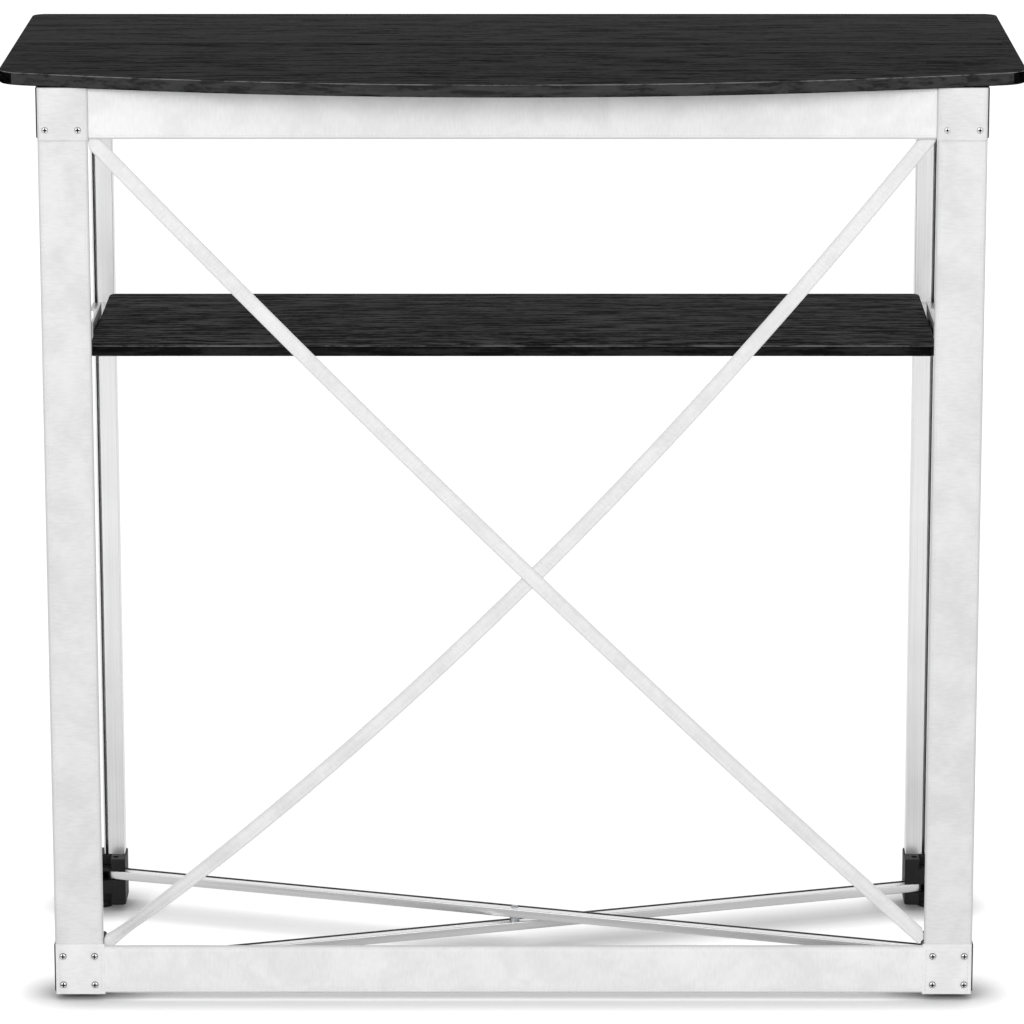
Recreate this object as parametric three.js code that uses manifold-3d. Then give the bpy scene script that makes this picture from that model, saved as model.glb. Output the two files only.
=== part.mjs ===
// A folding portable bar: two scissor pairs of aluminium bars join four legs at moulded corner hubs,
// a canvas front is screwed to the front hubs, and a folding counter and a shelf rest on the frame.
// Millimetres, +Z up, +X to the right and +Y away from the guest's side. The origin is on the floor
// under the middle of the counter.
import * as THREE from "three";
import { mergeVertices } from "three/addons/utils/BufferGeometryUtils.js";
import Module from "manifold-3d";

const wasm = await Module();
wasm.setup();

// Driving dimensions
const BAR_HEIGHT = 1068;
const FRAME_WIDTH = 1050;
const FRAME_DEPTH = 378;
const SEAT_GAP = 0.3;
const ROUND_SIDES = 10;
const CURVE_SEGMENTS = 4;
const HEAD_STEPS = 3;
const MERGE_TOLERANCE = 1e-4;

// Counter: two boards joined by a continuous hinge
const COUNTER_END_OVERHANG = 43;
const COUNTER_THICKNESS = 14.5;
const COUNTER_CORNER_SETBACK = 20;
const COUNTER_BOW = 92;
const COUNTER_REAR_OVERHANG = 80;
const COUNTER_REAR_LEAF_DEPTH = 233;
const COUNTER_REAR_RADIUS = 16;
const COUNTER_FRONT_RADIUS = 26;
const COUNTER_EDGE_ROUND = 1.5;
const BOW_STEPS = 20;

// Continuous hinge in the counter's seam
const HINGE_END_MARGIN = 12;
const HINGE_KNUCKLE_RADIUS = 2;
const HINGE_AXIS_RISE = 0.5;
const HINGE_PIN_RADIUS = 0.9;
const HINGE_STRIP_THICKNESS = 1.2;
const HINGE_STRIP_HEIGHT = 9;
const HINGE_KNUCKLES = 9;
const HINGE_CLEARANCE = 0.4;

// Shelf
const SHELF_DROP = 312.5;
const SHELF_END_REACH = 6;
const SHELF_SIDE_CLEARANCE = 12;
const SHELF_THICKNESS = 12.5;
const SHELF_CORNER_RADIUS = 10;
const SHELF_EDGE_ROUND = 1.2;
const END_STRIP_LENGTH = 118;
const END_STRIP_RISE = 8;
const END_STRIP_THICKNESS = 2.5;
const END_STRIP_FLANGE = 16;
const END_STRIP_GAP = 3;
const BRACKET_THICKNESS = 2.5;
const BRACKET_REACH = 40;
const BRACKET_DROP = 30;
const BRACKET_WIDTH = 20;
const BRACKET_TONGUE = 22;
const BRACKET_TONGUE_WIDTH = 14;

// Corner hubs, legs and feet
const HUB_WIDTH = 57;
const HUB_DEPTH = 52;
const HUB_HEIGHT = 57;
const HUB_CORNER_RADIUS = 4;
const HUB_LUG_WIDTH = 18;
const HUB_LEG_NOTCH = 12;
const HUB_FAR_NOTCH = 14;
const HUB_FAR_NOTCH_DEPTH = 16;
const LEG_SIZE = 25;
const LEG_WALL = 1.8;
const LEG_SLOT_WIDTH = 3.6;
const LEG_SEAT_DEPTH = 30;
const LEG_INSET_X = 2;
const LEG_INSET_Y = 3;
const FOOT_RADIUS = 12.5;
const FOOT_HEIGHT = 8;
const FOOT_TAPER = 1.5;

// Scissor bars, their hub pins and the centre rivets
const BAR_BREADTH = 18;
const BAR_THICKNESS = 10.5;
const BAR_WALL = 1.6;
const BAR_GROOVE = 6.5;
const BAR_GAP = 5.5;
const BAR_CLEARANCE = 0.5;
const PIN_RADIUS = 3;
const PIN_INSET = 12;
const PIN_RECESS = 0.5;
const SLOT_REACH = 30;
const RIVET_RADIUS = 2.6;
const RIVET_COLLAR_RADIUS = 6;
const RIVET_HEAD_RADIUS = 4.2;
const RIVET_HEAD_HEIGHT = 2;
const HOLE_CLEARANCE = 0.3;

// Canvas front: bands round the frame, crossed straps and screws
const BAND_THICKNESS = 1.6;
const BAND_INSET = 2;
const STRAP_WIDTH = 17;
const STRAP_THICKNESS = 1.4;
const STRAP_STEPS = 16;
const FRONT_STRAP = { direction: 1, layer: 0, topRise: 2, bottomRise: 7, sag: 17 };
const BACK_STRAP = { direction: -1, layer: 1, topRise: 12, bottomRise: 0, sag: 62 };
const SCREW_HEAD_RADIUS = 3.9;
const SCREW_HEAD_HEIGHT = 2.4;
const SCREW_SHANK_RADIUS = 1.9;
const SCREW_LENGTH = 14;
const SCREW_SPACING_X = 36;
const SCREW_SPACING_Z = 34;
const SCREW_EDGE_Z = 10;

// Places that follow from the driving dimensions
const COUNTER_UNDERSIDE = BAR_HEIGHT - COUNTER_THICKNESS;
const TOP_HUB_BASE = COUNTER_UNDERSIDE - SEAT_GAP - HUB_HEIGHT;
const BOTTOM_HUB_BASE = FOOT_HEIGHT + SEAT_GAP;
const FRAME_FRONT = -FRAME_DEPTH / 2;
const HUB_INNER_X = FRAME_WIDTH / 2 - HUB_WIDTH;
const HUB_INNER_Y = FRAME_DEPTH / 2 - HUB_DEPTH;
const PIN_X = HUB_INNER_X + PIN_INSET;
const PIN_Y = HUB_INNER_Y + PIN_INSET;
const LEG_X = HUB_INNER_X + LEG_INSET_X + LEG_SIZE / 2;
const LEG_Y = FRAME_DEPTH / 2 - LEG_INSET_Y - LEG_SIZE / 2;
const BAR_LENGTH = 2 * Math.hypot(PIN_X, PIN_Y);
const BAR_ANGLE = Math.atan2(PIN_Y, PIN_X);
const BAR_OFFSET = (BAR_THICKNESS + BAR_GAP) / 2;
const SLOT_DEPTH = PIN_INSET + BAR_BREADTH / 2 + BAR_CLEARANCE;
const SHELF_HEIGHT = BAR_HEIGHT - SHELF_DROP;
const SHELF_LENGTH = 2 * (HUB_INNER_X + SHELF_END_REACH);
const SHELF_DEPTH = 2 * (LEG_Y - LEG_SIZE / 2 - SHELF_SIDE_CLEARANCE);
const COUNTER_LENGTH = FRAME_WIDTH + 2 * COUNTER_END_OVERHANG;
const COUNTER_REAR = FRAME_DEPTH / 2 + COUNTER_REAR_OVERHANG;
const COUNTER_CORNER_FRONT = FRAME_FRONT + COUNTER_CORNER_SETBACK;
const COUNTER_FRONT = COUNTER_CORNER_FRONT - COUNTER_BOW;
const COUNTER_SEAM = COUNTER_REAR - COUNTER_REAR_LEAF_DEPTH;
const HINGE_LENGTH = COUNTER_LENGTH - 2 * HINGE_END_MARGIN;
const HINGE_AXIS_Z = BAR_HEIGHT + HINGE_AXIS_RISE;
const HINGE_SEAM_HALF = HINGE_STRIP_THICKNESS + HINGE_CLEARANCE;

const blackLaminate = { color: 0x2b2b2c, roughness: 0.5, metalness: 0 };
const blackPlastic = { color: 0x1d1d1e, roughness: 0.55, metalness: 0 };
const blackSteel = { color: 0x242424, roughness: 0.45, metalness: 0.6 };
const aluminium = { color: 0xc3c4c6, roughness: 0.35, metalness: 0.9 };
const zincSteel = { color: 0xa9abad, roughness: 0.3, metalness: 1 };
const whiteCanvas = { color: 0xe9e9e7, roughness: 0.9, metalness: 0 };
const blackRubber = { color: 0x161616, roughness: 0.9, metalness: 0 };

const bar = new THREE.Group();
const frame = new THREE.Group();
frame.position.y = -(COUNTER_REAR + COUNTER_FRONT) / 2;
bar.add(frame);

// A closed geometry as a solid for joining and cutting.
function solid(geometry) {
  const plain = geometry.clone();
  plain.deleteAttribute("normal");
  plain.deleteAttribute("uv");
  const merged = mergeVertices(plain, MERGE_TOLERANCE);
  const vertProperties = new Float32Array(merged.attributes.position.array);
  const triVerts = new Uint32Array(merged.index.array);
  return new wasm.Manifold(new wasm.Mesh({ numProp: 3, vertProperties, triVerts }));
}

// A solid back as a geometry.
function geometryOf(made) {
  const mesh = made.getMesh();
  const geometry = new THREE.BufferGeometry();
  geometry.setAttribute("position", new THREE.BufferAttribute(mesh.vertProperties, 3));
  geometry.setIndex(new THREE.BufferAttribute(mesh.triVerts, 1));
  geometry.computeVertexNormals();
  return geometry;
}

// One body less each of the cutters.
function cut(body, cutters) {
  return geometryOf(cutters.reduce((left, cutter) => left.subtract(solid(cutter)), solid(body)));
}

// A box between two corners.
function box(x0, x1, y0, y1, z0, z1) {
  const made = new THREE.BoxGeometry(Math.abs(x1 - x0), Math.abs(y1 - y0), Math.abs(z1 - z0));
  return made.translate((x0 + x1) / 2, (y0 + y1) / 2, (z0 + z1) / 2);
}

// An upright cylinder on a point.
function upright(radius, x, y, z0, z1) {
  const made = new THREE.CylinderGeometry(radius, radius, z1 - z0, ROUND_SIDES).rotateX(Math.PI / 2);
  return made.translate(x, y, (z0 + z1) / 2);
}

// A shape in plan, raised from one height to another, with an eased edge where one is given.
function raised(shape, z0, z1, ease = 0) {
  const made = new THREE.ExtrudeGeometry(shape, {
    depth: z1 - z0 - 2 * ease,
    bevelEnabled: ease > 0,
    bevelThickness: ease,
    bevelSize: ease,
    bevelOffset: -ease,
    bevelSegments: 1,
    curveSegments: CURVE_SEGMENTS,
  });
  return made.translate(0, 0, z0 + ease);
}

// A rectangle in plan with rounded corners.
function roundedRectangle(x0, x1, y0, y1, radius) {
  const shape = new THREE.Shape();
  shape.absarc(x1 - radius, y1 - radius, radius, 0, Math.PI / 2);
  shape.absarc(x0 + radius, y1 - radius, radius, Math.PI / 2, Math.PI);
  shape.absarc(x0 + radius, y0 + radius, radius, Math.PI, 1.5 * Math.PI);
  shape.absarc(x1 - radius, y0 + radius, radius, 1.5 * Math.PI, 2 * Math.PI);
  return shape;
}

// A finished piece of the frame under its own name.
function place(name, geometry, finish) {
  const mesh = new THREE.Mesh(geometry, new THREE.MeshStandardMaterial(finish));
  mesh.name = name;
  frame.add(mesh);
}

const CORNERS = [
  { name: "front_left", side: -1, end: -1, pair: "b" },
  { name: "front_right", side: 1, end: -1, pair: "a" },
  { name: "rear_left", side: -1, end: 1, pair: "a" },
  { name: "rear_right", side: 1, end: 1, pair: "b" },
];
const LEVELS = [
  { name: "bottom", base: BOTTOM_HUB_BASE },
  { name: "top", base: TOP_HUB_BASE },
];

// Bar pair a runs above pair b, and both lie about the middle of the hub's height.
function barHeight(level, pair) {
  return level.base + HUB_HEIGHT / 2 + (pair === "a" ? BAR_OFFSET : -BAR_OFFSET);
}

// Screws of a front hub: two in the top hub's lower row, four in the bottom hub.
function screwPlaces(corner, level) {
  const middle = corner.side * (FRAME_WIDTH / 2 - HUB_WIDTH / 2);
  const low = level.base + SCREW_EDGE_Z;
  const rows = level.name === "top" ? [low] : [low, low + SCREW_SPACING_Z];
  const columns = [middle - SCREW_SPACING_X / 2, middle + SCREW_SPACING_X / 2];
  return rows.flatMap((z) => columns.map((x) => ({ x, z })));
}

// A round hole through the front face, made from a cylinder that lies along Y.
function frontHole(radius, x, z, y0, y1) {
  const made = new THREE.CylinderGeometry(radius, radius, y1 - y0, ROUND_SIDES);
  return made.translate(x, (y0 + y1) / 2, z);
}

// The holes that a front corner's screws need in the hub, in the band and in the leg behind them.
function screwHoles(corner, level) {
  if (corner.end > 0) return [];
  const radius = SCREW_SHANK_RADIUS + HOLE_CLEARANCE;
  const front = FRAME_FRONT - SCREW_LENGTH;
  const back = FRAME_FRONT + SCREW_LENGTH;
  return screwPlaces(corner, level).map(({ x, z }) => frontHole(radius, x, z, front, back));
}

// Moulded hub: a block with a socket for the leg, a slot for the bar's end and holes for pin and screws.
// Beside the lug that holds the pin it is notched, so that the leg's slotted face shows.
function hub(corner, level) {
  const { side, end } = corner;
  const top = level.base + HUB_HEIGHT;
  const outerX = side * (FRAME_WIDTH / 2);
  const outerY = end * (FRAME_DEPTH / 2);
  const innerX = side * HUB_INNER_X;
  const innerY = end * HUB_INNER_Y;
  const plan = roundedRectangle(
    Math.min(innerX, outerX),
    Math.max(innerX, outerX),
    Math.min(innerY, outerY),
    Math.max(innerY, outerY),
    HUB_CORNER_RADIUS,
  );
  const block = raised(plan, level.base, top);
  const barZ = barHeight(level, corner.pair);
  const slotHalf = (BAR_THICKNESS + BAR_CLEARANCE) / 2;
  const past = HUB_CORNER_RADIUS;
  const slot = box(
    innerX - side * past,
    innerX + side * SLOT_REACH,
    innerY - end * past,
    innerY + end * SLOT_DEPTH,
    barZ - slotHalf,
    barZ + slotHalf,
  );
  const socketHalf = LEG_SIZE / 2 + HOLE_CLEARANCE;
  const [socketLow, socketHigh] =
    level.name === "bottom"
      ? [top - LEG_SEAT_DEPTH - SEAT_GAP, top + past]
      : [level.base - past, level.base + LEG_SEAT_DEPTH + SEAT_GAP];
  const socket = box(
    side * LEG_X - socketHalf,
    side * LEG_X + socketHalf,
    end * LEG_Y - socketHalf,
    end * LEG_Y + socketHalf,
    socketLow,
    socketHigh,
  );
  const pinHole = upright(
    PIN_RADIUS + HOLE_CLEARANCE,
    side * PIN_X,
    end * PIN_Y,
    level.base - past,
    top + past,
  );
  const [legFace, farFace, away] = level.name === "bottom" ? [top, level.base, 1] : [level.base, top, -1];
  const lugSide = innerX + side * HUB_LUG_WIDTH;
  const legNotch = box(
    lugSide,
    outerX + side * past,
    innerY - end * past,
    end * (LEG_Y - LEG_SIZE / 2),
    legFace - away * HUB_LEG_NOTCH,
    legFace + away * past,
  );
  const farNotch = box(
    lugSide,
    outerX + side * past,
    innerY - end * past,
    innerY + end * HUB_FAR_NOTCH_DEPTH,
    farFace + away * HUB_FAR_NOTCH,
    farFace - away * past,
  );
  return cut(block, [slot, socket, legNotch, farNotch, pinHole, ...screwHoles(corner, level)]);
}

// Leg: an open aluminium channel, its slot towards the inside of the frame near the outer edge.
function leg(corner) {
  const half = LEG_SIZE / 2;
  const hollow = half - LEG_WALL;
  const slotOuter = hollow;
  const slotInner = hollow - LEG_SLOT_WIDTH;
  const outline = [
    [slotOuter, -half],
    [half, -half],
    [half, half],
    [-half, half],
    [-half, -half],
    [slotInner, -half],
    [slotInner, -hollow],
    [-hollow, -hollow],
    [-hollow, hollow],
    [slotOuter, hollow],
  ];
  const points = outline.map(
    ([x, y]) => new THREE.Vector2(corner.side * (LEG_X + x), corner.end * (LEG_Y + y)),
  );
  const z0 = BOTTOM_HUB_BASE + HUB_HEIGHT - LEG_SEAT_DEPTH;
  const z1 = TOP_HUB_BASE + LEG_SEAT_DEPTH;
  const channel = raised(new THREE.Shape(points), z0, z1);
  return cut(channel, LEVELS.flatMap((level) => screwHoles(corner, level)));
}

// Foot: a tapered rubber pad under the middle of a bottom hub.
function foot(corner) {
  const made = new THREE.CylinderGeometry(
    FOOT_RADIUS,
    FOOT_RADIUS - FOOT_TAPER,
    FOOT_HEIGHT,
    ROUND_SIDES,
  ).rotateX(Math.PI / 2);
  const x = corner.side * (FRAME_WIDTH / 2 - HUB_WIDTH / 2);
  const y = corner.end * (FRAME_DEPTH / 2 - HUB_DEPTH / 2);
  return made.translate(x, y, FOOT_HEIGHT / 2);
}

// Shelf bracket: an angle on the leg's inner face, with a tongue turned in under the shelf's corner.
function bracket({ side, end }) {
  const face = LEG_Y - LEG_SIZE / 2 - SEAT_GAP;
  const tip = face - BRACKET_REACH;
  const outer = LEG_X + LEG_SIZE / 2;
  const inner = outer - BRACKET_WIDTH;
  const top = SHELF_HEIGHT - SHELF_THICKNESS - SEAT_GAP;
  const foot = top - BRACKET_DROP;
  const past = BRACKET_THICKNESS;
  const blank = box(side * (inner - BRACKET_TONGUE), side * outer, end * tip, end * face, foot, top);
  const under = box(
    side * (inner - BRACKET_TONGUE - past),
    side * (outer + past),
    end * (tip - past),
    end * (face - BRACKET_THICKNESS),
    foot - past,
    top - BRACKET_THICKNESS,
  );
  const beside = box(
    side * (inner - BRACKET_TONGUE - past),
    side * inner,
    end * (tip + BRACKET_TONGUE_WIDTH),
    end * (face + past),
    foot - past,
    top + past,
  );
  return cut(blank, [under, beside]);
}

// Scissor bar: a flat tube with round ends, three upright holes and a groove along the top's rear edge.
function scissorBar(level, pair) {
  const half = BAR_LENGTH / 2;
  const radius = BAR_BREADTH / 2;
  const rise = BAR_THICKNESS / 2;
  const plan = new THREE.Shape();
  plan.absarc(half, 0, radius, -Math.PI / 2, Math.PI / 2);
  plan.absarc(-half, 0, radius, Math.PI / 2, 1.5 * Math.PI);
  const body = raised(plan, -rise, rise);
  const hollow = radius - BAR_WALL;
  const bore = box(-BAR_LENGTH, BAR_LENGTH, -hollow, hollow, BAR_WALL - rise, rise - BAR_WALL);
  const holes = [-half, 0, half].map((x) =>
    upright((x ? PIN_RADIUS : RIVET_RADIUS) + HOLE_CLEARANCE, x, 0, -BAR_THICKNESS, BAR_THICKNESS),
  );
  const groove = box(-BAR_LENGTH, BAR_LENGTH, hollow - BAR_GROOVE, hollow, 0, BAR_THICKNESS);
  const made = cut(body, [bore, groove, ...holes]);
  const turn = pair === "a" ? -BAR_ANGLE : BAR_ANGLE;
  return made.rotateZ(turn).translate(0, 0, barHeight(level, pair));
}

// The round head of a rivet or screw, as radii and heights from its crown down to its rim.
function headProfile(radius, height) {
  return Array.from({ length: HEAD_STEPS + 1 }, (_, i) => {
    const angle = (i / HEAD_STEPS) * (Math.PI / 2);
    return [radius * Math.sin(angle), height * Math.cos(angle)];
  });
}

// A profile of radii and heights turned round an axis along Y.
function turned(profile) {
  const points = profile.map(([radius, height]) => new THREE.Vector2(radius, height));
  return new THREE.LatheGeometry(points, ROUND_SIDES);
}

// Centre rivet: two round heads on one shank through both bars, with a collar that keeps the bars apart.
function rivet(level) {
  const reach = BAR_OFFSET + BAR_THICKNESS / 2 + HOLE_CLEARANCE;
  const collar = BAR_GAP / 2 - HOLE_CLEARANCE;
  const head = headProfile(RIVET_HEAD_RADIUS, RIVET_HEAD_HEIGHT);
  const made = turned([
    ...head.map(([radius, height]) => [radius, -reach - height]),
    [RIVET_RADIUS, -reach],
    [RIVET_RADIUS, -collar],
    [RIVET_COLLAR_RADIUS, -collar],
    [RIVET_COLLAR_RADIUS, collar],
    [RIVET_RADIUS, collar],
    [RIVET_RADIUS, reach],
    ...head.reverse().map(([radius, height]) => [radius, reach + height]),
  ]);
  return made.rotateX(Math.PI / 2).translate(0, 0, level.base + HUB_HEIGHT / 2);
}

// Pan-head screw with its head towards the guest.
function screw(x, z) {
  const seat = -BAND_THICKNESS - 2 * SEAT_GAP;
  const head = headProfile(SCREW_HEAD_RADIUS, SCREW_HEAD_HEIGHT);
  const made = turned([
    ...head.map(([radius, height]) => [radius, seat - height]),
    [SCREW_SHANK_RADIUS, seat],
    [SCREW_SHANK_RADIUS, SCREW_LENGTH - SCREW_SHANK_RADIUS],
    [0, SCREW_LENGTH - SEAT_GAP],
  ]);
  return made.translate(x, FRAME_FRONT, z);
}

// Front band: a strip of canvas flat against the front hubs, with a hole for each screw.
function band(x0, x1, z0, z1, holes) {
  const back = FRAME_FRONT - SEAT_GAP;
  return cut(box(x0, x1, back - BAND_THICKNESS, back, z0, z1), holes);
}

// Strap: flat webbing from one upper corner of the opening to the opposite lower one, with the slack's sag
// at its middle. Its ends are cut off upright beside the hubs, behind the bands.
function strap({ direction, layer, topRise, bottomRise, sag }) {
  const end = HUB_INNER_X - SEAT_GAP;
  const zTop = TOP_HUB_BASE + topRise;
  const zBottom = BOTTOM_HUB_BASE + HUB_HEIGHT + bottomRise;
  const past = STRAP_WIDTH / (2 * HUB_INNER_X);
  const sides = [[], []];
  for (let i = 0; i <= STRAP_STEPS; i += 1) {
    const t = (i / STRAP_STEPS) * (1 + 2 * past) - past;
    const x = direction * end * (2 * t - 1);
    const centre = new THREE.Vector2(x, zTop + (zBottom - zTop) * t - 4 * sag * t * (1 - t));
    const along = new THREE.Vector2(2 * direction * end, zBottom - zTop - 4 * sag * (1 - 2 * t));
    along.setLength(STRAP_WIDTH / 2);
    const across = new THREE.Vector2(-along.y, along.x);
    sides[0].push(centre.clone().add(across));
    sides[1].push(centre.clone().sub(across));
  }
  const shape = new THREE.Shape([...sides[0], ...sides[1].reverse()]);
  const front = FRAME_FRONT + layer * (STRAP_THICKNESS + SEAT_GAP);
  const back = front + STRAP_THICKNESS;
  const webbing = raised(shape, 0, STRAP_THICKNESS).rotateX(Math.PI / 2).translate(0, back, 0);
  const opening = box(-end, end, front - STRAP_WIDTH, back + STRAP_WIDTH, 0, BAR_HEIGHT);
  return geometryOf(solid(webbing).intersect(solid(opening)));
}

// The counter's outline in plan: straight back and ends, and a bowed front edge.
function counterOutline() {
  const half = COUNTER_LENGTH / 2;
  const rear = COUNTER_REAR_RADIUS;
  const front = COUNTER_FRONT_RADIUS;
  const bow = (x) => COUNTER_CORNER_FRONT - COUNTER_BOW * (1 - (x / half) ** 2);
  const shape = new THREE.Shape();
  shape.absarc(half - rear, COUNTER_REAR - rear, rear, 0, Math.PI / 2);
  shape.absarc(-half + rear, COUNTER_REAR - rear, rear, Math.PI / 2, Math.PI);
  shape.lineTo(-half, bow(-half) + front);
  shape.quadraticCurveTo(-half, bow(-half), -half + front, bow(-half + front));
  for (let i = 1; i < BOW_STEPS; i += 1) {
    const x = (half - front) * ((2 * i) / BOW_STEPS - 1);
    shape.lineTo(x, bow(x));
  }
  shape.lineTo(half - front, bow(half - front));
  shape.quadraticCurveTo(half, bow(half), half, bow(half) + front);
  return shape;
}

// One leaf of the counter: the whole board less the other leaf's side, with the rebate for the hinge.
function counterLeaf(end) {
  const board = raised(counterOutline(), COUNTER_UNDERSIDE, BAR_HEIGHT, COUNTER_EDGE_ROUND);
  const past = COUNTER_LENGTH;
  const seam = COUNTER_SEAM + end * SEAT_GAP;
  const other = box(-past, past, seam, seam - end * past, 0, 2 * BAR_HEIGHT);
  const half = HINGE_LENGTH / 2 + HINGE_CLEARANCE;
  const knuckle = HINGE_KNUCKLE_RADIUS + HINGE_CLEARANCE;
  const knuckleRebate = box(
    -half,
    half,
    COUNTER_SEAM - end * knuckle,
    COUNTER_SEAM + end * knuckle,
    HINGE_AXIS_Z - knuckle,
    BAR_HEIGHT + knuckle,
  );
  const stripRebate = box(
    -half,
    half,
    COUNTER_SEAM - end * HINGE_SEAM_HALF,
    COUNTER_SEAM + end * (HINGE_SEAM_HALF + SEAT_GAP),
    HINGE_AXIS_Z - HINGE_STRIP_HEIGHT - SEAT_GAP,
    BAR_HEIGHT + knuckle,
  );
  return cut(board, [other, knuckleRebate, stripRebate]);
}

// A cylinder along X at the hinge's axis.
function hingeCylinder(radius, x0, x1) {
  const made = new THREE.CylinderGeometry(radius, radius, x1 - x0, ROUND_SIDES).rotateZ(Math.PI / 2);
  return made.translate((x0 + x1) / 2, COUNTER_SEAM, HINGE_AXIS_Z);
}

// One strip of the continuous hinge: a thin strip in the seam with every other knuckle.
function hingeStrip(end) {
  const half = HINGE_LENGTH / 2;
  const pitch = HINGE_LENGTH / HINGE_KNUCKLES;
  const near = COUNTER_SEAM + end * (HINGE_CLEARANCE / 2);
  const far = near + end * HINGE_STRIP_THICKNESS;
  let made = solid(box(-half, half, near, far, HINGE_AXIS_Z - HINGE_STRIP_HEIGHT, HINGE_AXIS_Z));
  for (let i = 0; i < HINGE_KNUCKLES; i += 1) {
    const x0 = -half + i * pitch + HINGE_CLEARANCE / 2;
    const x1 = x0 + pitch - HINGE_CLEARANCE;
    const own = i % 2 === (end > 0 ? 0 : 1);
    const grow = own ? 0 : HINGE_CLEARANCE;
    const piece = solid(hingeCylinder(HINGE_KNUCKLE_RADIUS + grow, x0 - grow, x1 + grow));
    made = own ? made.add(piece) : made.subtract(piece);
  }
  const bore = hingeCylinder(HINGE_PIN_RADIUS + HOLE_CLEARANCE, -HINGE_LENGTH, HINGE_LENGTH);
  return geometryOf(made.subtract(solid(bore)));
}

// The shelf: a board with rounded corners.
function shelf() {
  const half = SHELF_LENGTH / 2;
  const plan = roundedRectangle(-half, half, -SHELF_DEPTH / 2, SHELF_DEPTH / 2, SHELF_CORNER_RADIUS);
  return raised(plan, SHELF_HEIGHT - SHELF_THICKNESS, SHELF_HEIGHT, SHELF_EDGE_ROUND);
}

// End strip: an aluminium angle at the middle of the shelf's end, its flange under the board.
function endStrip(side) {
  const inner = SHELF_LENGTH / 2 + END_STRIP_GAP;
  const outer = inner + END_STRIP_THICKNESS;
  const seat = SHELF_HEIGHT - SHELF_THICKNESS - SEAT_GAP;
  const crown = SHELF_HEIGHT + END_STRIP_RISE;
  const outline = [
    [outer - END_STRIP_FLANGE, seat - END_STRIP_THICKNESS],
    [outer, seat - END_STRIP_THICKNESS],
    [outer, crown],
    [inner, crown],
    [inner, seat],
    [outer - END_STRIP_FLANGE, seat],
  ];
  const shape = new THREE.Shape(outline.map(([x, z]) => new THREE.Vector2(x, z)));
  const made = raised(shape, -END_STRIP_LENGTH / 2, END_STRIP_LENGTH / 2).rotateX(Math.PI / 2);
  if (side < 0) made.rotateZ(Math.PI);
  return made;
}

// The counter
place("counter_rear_leaf", counterLeaf(1), blackLaminate);
place("counter_front_leaf", counterLeaf(-1), blackLaminate);
place("counter_hinge_rear_strip", hingeStrip(1), blackSteel);
place("counter_hinge_front_strip", hingeStrip(-1), blackSteel);
place("counter_hinge_pin", hingeCylinder(HINGE_PIN_RADIUS, -HINGE_LENGTH / 2, HINGE_LENGTH / 2), blackSteel);

// The shelf
place("shelf_board", shelf(), blackLaminate);
place("shelf_end_strip_left", endStrip(-1), aluminium);
place("shelf_end_strip_right", endStrip(1), aluminium);

// The four corners, each a leg with its hubs, pins, foot, bracket and screws
for (const corner of CORNERS) {
  place(`${corner.name}_leg`, leg(corner), aluminium);
  place(`${corner.name}_foot`, foot(corner), blackRubber);
  place(`${corner.name}_shelf_bracket`, bracket(corner), aluminium);
  for (const level of LEVELS) {
    place(`${corner.name}_${level.name}_hub`, hub(corner, level), blackPlastic);
    const pin = upright(
      PIN_RADIUS,
      corner.side * PIN_X,
      corner.end * PIN_Y,
      level.base + PIN_RECESS,
      level.base + HUB_HEIGHT - PIN_RECESS,
    );
    place(`${corner.name}_${level.name}_pin`, pin, zincSteel);
    if (corner.end < 0) {
      screwPlaces(corner, level).forEach(({ x, z }, i) => {
        place(`${corner.name}_${level.name}_screw_${i + 1}`, screw(x, z), zincSteel);
      });
    }
  }
}

// The scissor bars and their centre rivets
for (const level of LEVELS) {
  place(`${level.name}_bar_a`, scissorBar(level, "a"), aluminium);
  place(`${level.name}_bar_b`, scissorBar(level, "b"), aluminium);
  place(`${level.name}_rivet`, rivet(level), zincSteel);
}

// The canvas front
const bandOuter = FRAME_WIDTH / 2 - BAND_INSET;
const frontCorners = CORNERS.filter((corner) => corner.end < 0);
for (const level of LEVELS) {
  const holes = frontCorners.flatMap((corner) => screwHoles(corner, level));
  const strip = band(-bandOuter, bandOuter, level.base, level.base + HUB_HEIGHT, holes);
  place(`${level.name}_band`, strip, whiteCanvas);
}
for (const corner of frontCorners) {
  const x0 = corner.side * HUB_INNER_X;
  const x1 = corner.side * bandOuter;
  const z0 = BOTTOM_HUB_BASE + HUB_HEIGHT + SEAT_GAP;
  const z1 = TOP_HUB_BASE - SEAT_GAP;
  place(`${corner.name}_post_band`, band(x0, x1, z0, z1, []), whiteCanvas);
}
place("front_strap", strap(FRONT_STRAP), whiteCanvas);
place("back_strap", strap(BACK_STRAP), whiteCanvas);

export default bar;
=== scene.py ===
import math

import bpy
import numpy as np
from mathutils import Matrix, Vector
from mathutils.geometry import tessellate_polygon


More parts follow.
